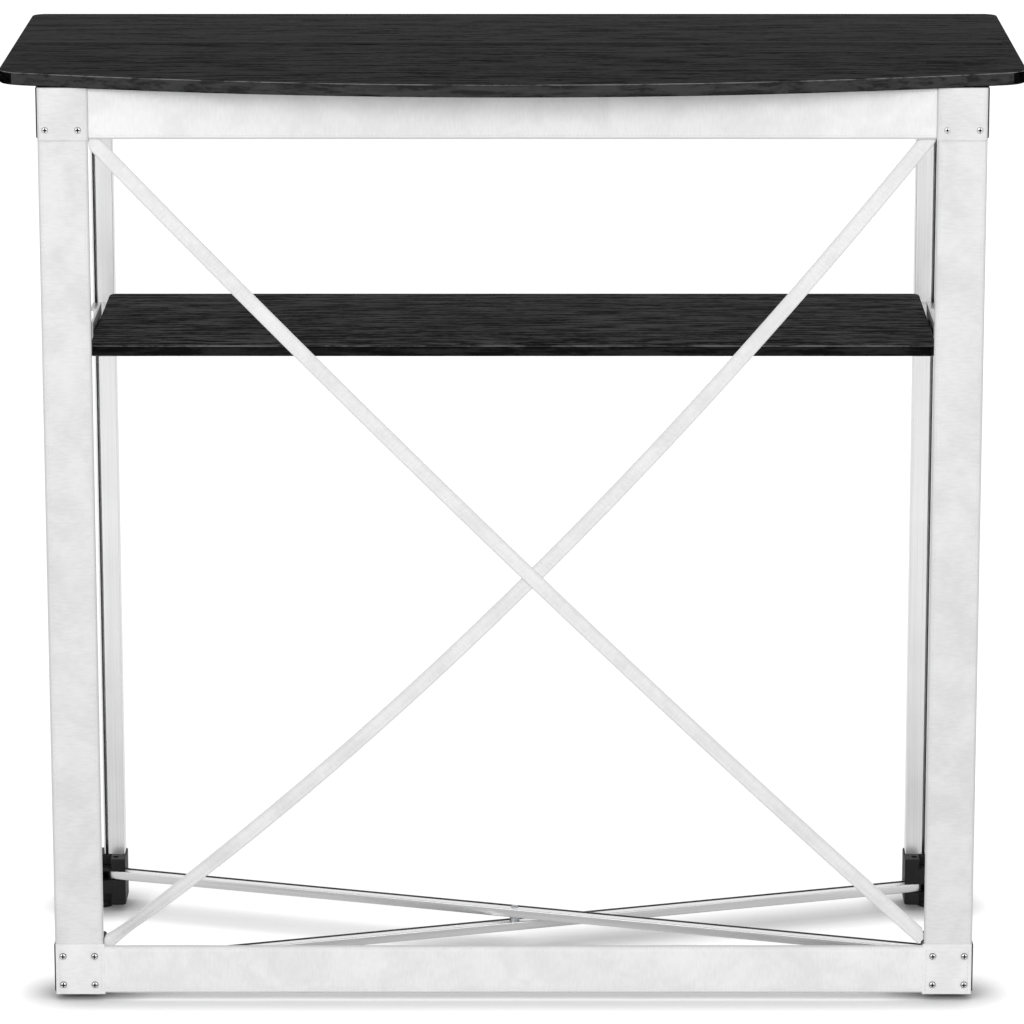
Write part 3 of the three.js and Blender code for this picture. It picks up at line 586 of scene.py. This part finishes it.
def woven(name, thread, tone_low, tone_high, rim_shade_tone, rib):
    """Plain weave read from the cloth's own UV in metres: warp and weft are two sine ridges a thread apart.
    Slubs, the thicker weft threads, are noise stretched across the cloth."""
    made, tree, shader = new_material(
        name, Roughness=0.86, IOR=1.5, Specular_IOR_Level=0.12, Sheen_Weight=0.08, Sheen_Roughness=0.5)
    flat = add(tree, "ShaderNodeUVMap", {"uv_map": "cloth"}).outputs["UV"]
    apart = add(tree, "ShaderNodeSeparateXYZ", links={"Vector": flat})
    ridges = []
    for socket, spacing in (("X", thread * rib), ("Y", thread)):
        scaled = maths(tree, "MULTIPLY", apart.outputs[socket], 2 * math.pi / spacing)
        ridges.append(maths(tree, "SINE", scaled))
    weave = maths(tree, "MULTIPLY", *ridges)
    place = add(tree, "ShaderNodeTexCoord").outputs["Object"]
    crease = noise(tree, place, CREASE_CELL, Detail=4.0, Distortion=0.6)
    slub = noise(tree, flat, (SLUB_WIDTH, SLUB_LENGTH, 1.0), Detail=2.0)
    shaded = maths(tree, "MULTIPLY_ADD", weave, WEAVE_SHADE, crease)
    uneven = maths(tree, "MULTIPLY_ADD", slub, SLUB_SHADE, shaded)
    shift = SLUB_SHADE / 2
    tone = ramp(tree, uneven, (0.3 + shift, linear(tone_low)), (0.7 + shift, linear(tone_high)))
    soft = bump(tree, strength=0.35, distance=0.0025, Height=crease)
    # The rim vertices take a darker tone: painted shade along the cloth's edges.
    rim = add(tree, "ShaderNodeAttribute", {"attribute_name": "rim"})
    rim_shaded = add(tree, "ShaderNodeMix", {"data_type": "RGBA"}, links={"Factor": rim.outputs["Fac"]})
    tree.links.new(tone, rim_shaded.inputs["A"])
    rim_shaded.inputs["B"].default_value = linear(rim_shade_tone)
    feed(tree, shader, Base_Color=rim_shaded.outputs["Result"],
         Normal=bump(tree, strength=0.3, distance=0.0003, Height=weave, Normal=soft))
    return made


# The real thread is half as wide; it is drawn coarser so that the weave shows in the render.
canvas = woven("white_polyester_canvas", CANVAS_THREAD, "#DDDDDD", "#EDEDED", "#CACACA", 1.0)
# The cross bands are painted lighter than the posts: painted light that evens out the shade falling on them.
cross_canvas_painted_light = woven("white_polyester_cross_canvas", CANVAS_THREAD, "#EBEBEB", "#F9F9F9", "#CCCCCC", 1.0)
# The twist of the thread makes each stitch a shade lighter or darker than its neighbour.
thread_white = mottled(
    "white_bonded_thread", 0.0015, "#E2E2E2", "#F2F2F2", (0.5, 0.7), Specular_IOR_Level=0.2)


def ripple(along, across, seed, height):
    """Height of slack canvas out of its plane: three slanting sine waves of falling length, summed and raised
    so that it is never below nought."""
    draw = np.random.default_rng(seed)
    total = np.zeros(np.broadcast(along, across).shape)
    for length in RIPPLE_LENGTHS:
        phase, slant = draw.uniform(0, 2 * math.pi), draw.uniform(-RIPPLE_SLANT, RIPPLE_SLANT)
        total = total + np.sin(2 * math.pi * along / length + slant * across / BAND_WIDTH * 0.6 + phase)
    return height * (0.5 + total / 6)


def hem_section(width, thickness):
    """Section of a stitched band: flat faces with a shallow groove under each stitch row and round edges."""
    half, t = width / 2, thickness / 2
    face = np.array([-half + HEM_EDGE, -half + HEM - HEM_SIDE, -half + HEM, -half + HEM + HEM_SIDE])
    face = np.concatenate([face, np.linspace(-half + HEM + HEM_FLAT, half - HEM - HEM_FLAT, 9), -face[::-1]])
    depth = np.where(np.isclose(np.abs(face), half - HEM), t - HEM_GROOVE, t)
    front = np.stack([face, depth], axis=-1)
    back = np.stack([face[::-1], -np.full(len(face), t)], axis=-1)
    return np.concatenate([front, [(half, 0.0)], back, [(-half, 0.0)]])[::-1]


def cloth_uv(made, uv, width, length, rims="sides"):
    """Writes one UV pair for each vertex to the faces' corners, and marks as rim the vertices on the long
    sides, the ends or both, as the words in rims say. The cloth draws the rim darker, as painted shade."""
    mesh = made.data
    corner = np.empty(len(mesh.loops), np.int32)
    mesh.loops.foreach_get("vertex_index", corner)
    layer = mesh.uv_layers.new(name="cloth")
    layer.data.foreach_set("uv", uv[corner].astype(np.float32).ravel())
    edge = mesh.attributes.new("rim", "FLOAT", "POINT")
    on_side = abs(uv[:, 1]) > width / 2 - RIM_WIDTH
    on_end = (uv[:, 0] < RIM_WIDTH / 2) | (uv[:, 0] > length - RIM_WIDTH / 2)
    rim = on_side * ("sides" in rims) | on_end * ("ends" in rims)
    edge.data.foreach_set("value", rim.astype(np.float32))


def stitch_row(centres, along, out):
    """Stitches as small six-sided spindles: one spindle's points set along the seam at each centre."""
    angle = np.linspace(0, 2 * math.pi, 6, endpoint=False)
    radius = np.array([0.25, 1.0, 1.0, 0.25]) * STITCH_RADIUS
    step = np.array([-0.5, -0.3, 0.3, 0.5]) * STITCH_LENGTH
    side = np.cross(along, out)
    ring = (np.cos(angle)[:, None] * side + np.sin(angle)[:, None] * out)
    spindle = step[:, None, None] * along + radius[:, None, None] * ring[None]
    return joined([closed_tube(spindle + centre) for centre in centres])


def canvas_band(name, start, end, up, width, thickness, seed, height, body, replaced, cloth, stretch=None,
                rims="sides"):
    """A flat band from start to end: its hemmed section swept along, with ripple pushed towards the guest."""
    start, end, up = (np.asarray(v, float) for v in (start, end, up))
    length = np.linalg.norm(end - start)
    direction = (end - start) / length
    out = np.array([0.0, -1.0, 0.0])
    steps = max(int(length / BAND_STEP), 6)
    distance = np.concatenate([[0], np.linspace(RIM_WIDTH, length - RIM_WIDTH, steps + 1), [length]])
    path = start + distance[:, None] * direction
    section = hem_section(width, thickness)
    if np.cross(up, out) @ direction < 0:
        section = section[::-1]
    rings = swept(section, path, up, out)

    def raised(along, across):
        """The ripple's height, faded out towards both ends."""
        fade = np.clip(np.minimum(along, length - along) / RIPPLE_FADE, 0, 1)
        return ripple(along + start.sum(), across, seed, height) * fade

    rings = rings + raised(distance[:, None], section[None, :, 0])[..., None] * out
    made = piece(name, closed_tube(rings), cloth, body, replaced, sharp=50.0)
    uv = np.stack(np.broadcast_arrays(distance[:, None], section[None, :, 0]), axis=-1)
    cloth_uv(made, uv.reshape(-1, 2), width, length, rims)
    count = int((length - 2 * SEAM_END) / STITCH_PITCH)
    seam = SEAM_END + (np.arange(count) + 0.5) * STITCH_PITCH
    rows = []
    for across in (width / 2 - HEM, -width / 2 + HEM):
        lift = thickness / 2 + raised(seam, across)
        centres = start + seam[:, None] * direction + across * up + lift[:, None] * out
        rows.append(stitch_row(centres, direction, out))
    sewing = piece(f"{name}_stitching", joined(rows), thread_white, body)
    if stretch:
        for part in (made, sewing):
            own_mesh(part)
    return made


band_low, band_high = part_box("bottom_band")
top_low, top_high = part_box("top_band")
hub_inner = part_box("front_right_bottom_hub")[0].x
# The share of its width that a cross band keeps when the frame is folded.
FOLDED_SHARE = 0.0444
for side, corner in FRONT_CORNERS:
    post_low, post_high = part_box(f"{corner}_post_band")
    middle_x = (post_low.x + post_high.x) / 2
    width = post_high.x - post_low.x
    depth = (post_low.y + post_high.y) / 2
    canvas_band(f"{corner}_post_canvas", (middle_x, depth, post_low.z), (middle_x, depth, post_high.z),
                (1, 0, 0), width, post_high.y - post_low.y, POST_SEED + side, POST_RIPPLE, f"{corner}_corner",
                [f"{corner}_post_band"], canvas)
    for level, (low, high) in (("bottom", (band_low, band_high)), ("top", (top_low, top_high))):
        middle_z = (low.z + high.z) / 2
        tall = high.z - low.z
        depth = (low.y + high.y) / 2
        replaced = [f"{level}_band"] if side < 0 else []
        canvas_band(f"{corner}_{level}_band_canvas", (side * hub_inner, depth, middle_z),
                    (0, depth, middle_z), (0, 0, 1), tall, high.y - low.y, BAND_SEED + side + 2 * len(level),
                    BAND_RIPPLE, f"{corner}_corner", replaced, cross_canvas_painted_light, (side * hub_inner, FOLDED_SHARE))
        outer = side * band_high.x
        # A top patch is folded double and stands out; a bottom one is the band's own end, flush with it.
        if level == "top":
            thick, cloth, rims, above = PATCH_THICKNESS, canvas, "sides and ends", 0.0
        else:
            thick, cloth, rims, above = FLUSH_THICKNESS, cross_canvas_painted_light, "ends", PATCH_EDGE
        patch_depth = band_high.y - thick / 2
        patch_x = (side * (hub_inner - PATCH_LAP) + outer) / 2
        patch_width = band_high.x - hub_inner + PATCH_LAP
        canvas_band(f"{corner}_{level}_patch", (patch_x, patch_depth, low.z - PATCH_EDGE),
                    (patch_x, patch_depth, high.z + above), (1, 0, 0), patch_width, thick, PATCH_SEED + side,
                    PATCH_RIPPLE, f"{corner}_corner", [], cloth, rims=rims)

# Screws: zinc-plated pan-head screws with a cross recess, driven through the corner patches into the hubs.
# The head is a shallow dome; the recess is pressed as two crossed grooves that taper towards their ends.
RECESS_HALF_WIDTH, RECESS_REACH, RECESS_DEPTH = 0.0008, 0.0027, 0.0014
RECESS_EASE, RECESS_TAPER, DOME_FALL = 0.0002, 0.0004, 0.75
HEAD_SIDES, HEAD_RINGS, SCREW_PROUD, RING_SHARE = 96, 26, 0.0006, 0.86
HEAD_HEIGHT, SHANK_RADIUS, TIP_LENGTH = 0.0024, 0.0019, 0.002
# Nickel plate: bright with soft clouds from handling. The recess is dark, painted shade with the grease left
# by the driver, and a thin ring round the head's foot is painted shade of the gap under the head.
screw_plate = mottled("nickel_plate", 0.003, "#DADADA", "#E8E8E8", (0.34, 0.46), Metallic=1.0)
screw_recess = mottled("recess_shadow_and_grease", 0.001, "#1E1E1E", "#2A2A2A", (0.6, 0.8), Metallic=0.6)


def screw_solid(centre, radius, tip):
    """Head dome on a polar grid, sunk where min(|x|, |z|) falls in a groove, then the shank to its tip.
    Gives the solid and, for each face, 1 in the recess and round the head's foot, and 0 elsewhere."""
    angle = np.linspace(0, 2 * math.pi, HEAD_SIDES, endpoint=False) + math.pi / HEAD_SIDES
    share = np.linspace(0.01, 1, HEAD_RINGS)
    x = radius * share[:, None] * np.cos(angle)
    z = radius * share[:, None] * np.sin(angle)
    dome = np.broadcast_to(HEAD_HEIGHT * (1 - DOME_FALL * share[:, None] ** 3), x.shape)
    near, far = np.minimum(abs(x), abs(z)), np.maximum(abs(x), abs(z))
    sunk = (np.clip((RECESS_HALF_WIDTH - near) / RECESS_EASE, 0, 1)
            * np.clip((RECESS_REACH - far) / RECESS_TAPER, 0, 1))
    face = np.stack([x, RECESS_DEPTH * sunk - dome, z], axis=-1)
    rim = np.array([(radius, 0.0), (SHANK_RADIUS, 0.0), (SHANK_RADIUS, tip - TIP_LENGTH), (NEAR_NOUGHT, tip)])
    drop = np.repeat(rim[:, 1:], HEAD_SIDES, axis=1)
    rest = np.stack([rim[:, :1] * np.cos(angle), drop, rim[:, :1] * np.sin(angle)], axis=-1)
    points, faces = closed_tube(np.concatenate([face, rest]) + np.asarray(centre))
    # The ring round the head's foot takes the recess's dark material: painted shade of the gap under the
    # head.
    ring = np.repeat(share > RING_SHARE, HEAD_SIDES)
    deep = np.concatenate([(sunk.ravel() > 0.3) | ring, np.ones(rest.shape[0] * HEAD_SIDES, bool)])
    return (points, faces), [int(deep[face].sum() * 2 > len(face)) for face in map(list, faces)]


for side, corner in FRONT_CORNERS:
    for level, count in (("bottom", 4), ("top", 2)):
        for number in range(1, count + 1):
            node = f"{corner}_{level}_screw_{number}"
            low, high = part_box(node)
            seat = low.y + HEAD_HEIGHT - SCREW_PROUD
            centre = ((low.x + high.x) / 2, seat, (low.z + high.z) / 2)
            solid, recess = screw_solid(centre, (high.x - low.x) / 2, high.y - seat)
            piece(f"{node}_driven", solid, screw_plate, f"{corner}_corner", [node],
                  others=[screw_recess], choice=recess)

# Straps: two lengths of white polyester webbing sewn behind opposite corners of the canvas front, crossed in
# its opening. They are a little slack, so each hangs below its straight line; one lies over the other.
WEBBING_RIB, STRAP_WIDTH, STRAP_STEPS = 0.0022, 0.017, 61
TWIST_REACH, TWIST_START = 0.22, 0.03
webbing = woven("white_polyester_webbing", WEBBING_RIB, "#E4E4E4", "#F4F4F4", "#E0E0E0", 0.5)


def strap_half(node, side, falling, top_rise, bottom_rise, sag, twist, body, replaced):
    """Half of a strap, from its corner to the middle: its height falls along a straight line less a parabola
    of slack, and the webbing is turned about its own line near the left corner by the twist."""
    low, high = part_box(node)
    top_hub_low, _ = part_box("front_left_top_hub")
    _, bottom_hub_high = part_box("front_left_bottom_hub")
    z_top, z_bottom = top_hub_low.z + top_rise, bottom_hub_high.z + bottom_rise
    share = np.linspace(0, 0.5, STRAP_STEPS) if side < 0 else np.linspace(0.5, 1, STRAP_STEPS)
    fall = share if falling else 1 - share
    x = high.x * (2 * share - 1)
    z = z_top + (z_bottom - z_top) * fall - 4 * sag * share * (1 - share)
    path = np.stack([x, np.full(STRAP_STEPS, (low.y + high.y) / 2), z], axis=-1)
    tangent = np.gradient(path, axis=0)
    tangent /= np.linalg.norm(tangent, axis=1, keepdims=True)
    out = np.array([0.0, -1.0, 0.0])
    section = hem_section(STRAP_WIDTH, high.y - low.y)
    turn = twist * np.clip(1 - share / TWIST_REACH, 0, 1) ** 2 * np.clip(share / TWIST_START, 0, 1)
    cosine, sine = np.cos(turn)[:, None], np.sin(turn)[:, None]
    flat = np.cross(tangent, out)
    rings = swept(section, path, cosine * flat - sine * out, cosine * out + sine * flat)
    rings[..., 0] = np.clip(rings[..., 0], -high.x, high.x)
    name = f"{node}_{body.replace('_corner', '')}_webbing"
    made = piece(name, closed_tube(rings[:, ::-1]), webbing, body, replaced, sharp=50.0)
    distance = np.concatenate([[0], np.cumsum(np.linalg.norm(np.diff(path, axis=0), axis=1))])
    uv = np.stack(np.broadcast_arrays(distance[:, None], section[None, ::-1, 0]), axis=-1)
    cloth_uv(made, uv.reshape(-1, 2), STRAP_WIDTH, distance[-1])
    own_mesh(made)


for node, falling, top_rise, bottom_rise, sag, twist in (
    ("front_strap", True, 0.002, 0.007, 0.017, 0.0), ("back_strap", False, 0.012, 0.0, 0.062, 0.8)):
    for side, corner in FRONT_CORNERS:
        strap_half(node, side, falling, top_rise, bottom_rise, sag, twist, f"{corner}_corner",
                   [node] if side < 0 else [])

# Shelf: a black wood-grain laminated board that lies on four angle brackets, with a short aluminium angle
# under each end whose upright stands a little above the top. The printed grain runs along the board.
GRAIN_WIDTH, GRAIN_RUN = 0.0056, 0.065
PORE_WIDTH, PORE_RUN = 0.0034, 0.012
FIGURE_WIDTH, FIGURE_RUN = 0.045, 0.55
FIGURE_SHARE, STREAK_SHARE, PORE_SHARE = 0.1, 0.58, 0.32
MID_STEP, PALE_STEP = 0.03, 0.13


def laminate(name, dark, mid, light, shine, cut=0.43):
    """Printed wood grain along X: streaks and broad figure are noise stretched lengthwise, and short fine
    noise breaks them up; the sum turns dark below the cut and pale well above it."""
    made, tree, shader = new_material(name, IOR=1.5, Specular_IOR_Level=shine)
    place = add(tree, "ShaderNodeTexCoord").outputs["Object"]
    figure = noise(tree, place, (FIGURE_RUN, FIGURE_WIDTH, FIGURE_WIDTH), Detail=3.0, Distortion=1.4)
    streaks = noise(
        tree, place, (GRAIN_RUN, GRAIN_WIDTH, GRAIN_WIDTH), Detail=3.0, Roughness=0.5, Distortion=0.35)
    pores = noise(tree, place, (PORE_RUN, PORE_WIDTH, PORE_WIDTH), Detail=3.0, Roughness=0.7)
    blend = maths(tree, "MULTIPLY", figure, FIGURE_SHARE)
    blend = maths(tree, "MULTIPLY_ADD", streaks, STREAK_SHARE, blend)
    blend = maths(tree, "MULTIPLY_ADD", pores, PORE_SHARE, blend)
    tone = ramp(
        tree, blend, (cut, linear(dark)), (cut + MID_STEP, linear(mid)), (cut + PALE_STEP, linear(light)))
    feed(tree, shader, Base_Color=tone, Roughness=between(tree, streaks, low=0.6, high=0.8),
         Normal=bump(tree, strength=0.3, distance=0.0003, Height=pores))
    return made


SHELF_CORNER, BOARD_EDGE, BEND_SLOPE = 0.010, 0.0012, 0.6
# Each row of a board's faces, from below to above, takes the surface (0), the band (1) or the rim (2).
BOARD_ROWS = (0, 0, 0, 0, 1, 2, 2, 0, 0)
# Matt black foil with dark pores; the edge bands are plainer, and the rim above them is painted paler, a
# painted highlight along the rounded edge.
shelf_laminate = laminate("black_oak_laminate_shelf", "#020202", "#333333", "#595959", 0.01, 0.45)
shelf_band = laminate("black_shelf_edge_band", "#080808", "#101010", "#222222", 0.04)
rim_painted_highlight = laminate("painted_highlight_board_rim", "#3A3A3A", "#585858", "#767676", 0.05)


def board(name, outline, low, high, surface, band, body, replaced, bend=None):
    """A laminated board: its upright edge is a band of its own, and the rim above it is painted paler as a
    highlight. Where a material for the bend is given, it goes to the band's faces that are turned sideways
    past a slope."""
    choice = np.concatenate([np.repeat(BOARD_ROWS, len(outline)), [0, 0]])
    others = [band, rim_painted_highlight]
    if bend:
        run = abs(np.roll(outline, -1, axis=0) - outline)
        bent = np.flatnonzero(choice == 1)[run[:, 1] > BEND_SLOPE * run[:, 0]]
        others.append(bend)
        choice[bent] = len(others)
    return piece(name, slab(outline, low, high, BOARD_EDGE), surface, body, replaced,
                 others=others, choice=choice)


low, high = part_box("shelf_board")
shelf_outline = rounded_rectangle(low.x, high.x, low.y, high.y, SHELF_CORNER, 12)
board("shelf_board_laminated", shelf_outline, low.z, high.z, shelf_laminate, shelf_band,
      "shelf", ["shelf_board"])
strip_metal = aluminium("mill_finish_strip", "y", tone="#C8C8C8")
ANGLE_ROUND, ANGLE_THICKNESS = 0.0006, 0.0025


def angle_section(x0, x1, z0, z1, thickness, upright_at_low):
    """An L in section: a flange along the bottom and an upright at one side, with eased outer corners."""
    e, wide, tall = ANGLE_ROUND, x1 - x0, z1 - z0
    section = np.array([
        (0, 0), (wide - e, 0), (wide, e), (wide, thickness - e), (wide - e, thickness),
        (thickness, thickness), (thickness, tall - e), (thickness - e, tall), (e, tall), (0, tall - e)])
    if not upright_at_low:
        section = section[::-1] * (-1, 1) + (wide, 0)
    return section + (x0, z0)


def dress(node, material):
    """Gives a solid that keeps its CAD shape one finished material."""
    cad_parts[node].data.materials.clear()
    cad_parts[node].data.materials.append(material)


for side, name in ((-1, "left"), (1, "right")):
    low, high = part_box(f"shelf_end_strip_{name}")
    section = angle_section(low.x, high.x, low.z, high.z, ANGLE_THICKNESS, side < 0)
    path = [(0, low.y, 0), (0, high.y, 0)]
    rings = swept(section, path, (1, 0, 0), (0, 0, 1))[:, ::-1]
    piece(f"shelf_end_strip_{name}_angle", closed_tube(rings), strip_metal, "shelf",
          [f"shelf_end_strip_{name}"], sharp=30.0)
for corner, side, end in CORNERS:
    dress(f"{corner}_shelf_bracket", strip_metal)

# Counter: two black wood-grain laminated boards that lie on the hubs, hinged along their seam so that the
# front leaf folds over on the rear one. The front edge is bowed towards the guest; the corners are rounded.
COUNTER_BOW, COUNTER_REAR_CORNER, COUNTER_FRONT_CORNER = 0.092, 0.016, 0.026
SEAM_EASE = 0.0008
rear_low, rear_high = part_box("counter_rear_leaf")
front_low, front_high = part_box("counter_front_leaf")
half = rear_high.x
corner_front = front_low.y + COUNTER_BOW


def bow(x):
    """The front edge's place in Y: a parabola from the corners to the middle."""
    return corner_front - COUNTER_BOW * (1 - (x / half) ** 2)


def corner_curve(start, control, end, steps=10):
    """A quadratic curve between two points that bends towards a third."""
    t = np.linspace(0, 1, steps)[:, None]
    return (1 - t) ** 2 * np.array(start) + 2 * t * (1 - t) * np.array(control) + t ** 2 * np.array(end)


r = COUNTER_REAR_CORNER
rear_outline = np.concatenate([
    arc((half - SEAM_EASE, rear_low.y + SEAM_EASE), SEAM_EASE, -90, 0, 4),
    arc((half - r, rear_high.y - r), r, 0, 90, 14),
    arc((-half + r, rear_high.y - r), r, 90, 180, 14),
    arc((-half + SEAM_EASE, rear_low.y + SEAM_EASE), SEAM_EASE, 180, 270, 4)])
f = COUNTER_FRONT_CORNER
edge_x = np.linspace(-half + f, half - f, 90)[1:-1]
front_outline = np.concatenate([
    arc((half - SEAM_EASE, front_high.y - SEAM_EASE), SEAM_EASE, 0, 90, 4),
    arc((-half + SEAM_EASE, front_high.y - SEAM_EASE), SEAM_EASE, 90, 180, 4),
    corner_curve((-half, bow(half) + f), (-half, bow(half)), (-half + f, bow(half - f))),
    np.stack([edge_x, bow(edge_x)], axis=-1),
    corner_curve((half - f, bow(half - f)), (half, bow(half)), (half, bow(half) + f))])
rear_laminate = laminate("black_oak_laminate_rear_leaf", "#030303", "#242424", "#363636", 0.01)
front_laminate = laminate("black_oak_laminate_front_leaf", "#030303", "#232323", "#373737", 0.01)
counter_band = laminate("black_counter_edge_band", "#242424", "#303030", "#3C3C3C", 0.05)
# The band's faces turned sideways at the front corners are drawn near black.
counter_bend = laminate("black_counter_edge_bend", "#030303", "#070707", "#0E0E0E", 0.0)
board("counter_rear_leaf_laminated", rear_outline, rear_low.z, rear_high.z, rear_laminate, counter_band,
      "counter_rear", ["counter_rear_leaf"])
board("counter_front_leaf_laminated", front_outline, front_low.z, front_high.z, front_laminate, counter_band,
      "counter_front", ["counter_front_leaf"], counter_bend)

# Counter hinge: a continuous hinge of black-coated steel in the seam, two strips rolled round one pin, with
# the knuckles level with the counter's top. The coat is dark and satin, rubbed paler in soft patches.
coated = mottled("black_coated_steel", 0.02, "#242424", "#363636", ends=(0.0, 1.0),
                 Roughness=0.55, Specular_IOR_Level=0.1)
for node in ("counter_hinge_rear_strip", "counter_hinge_front_strip", "counter_hinge_pin"):
    dress(node, coated)
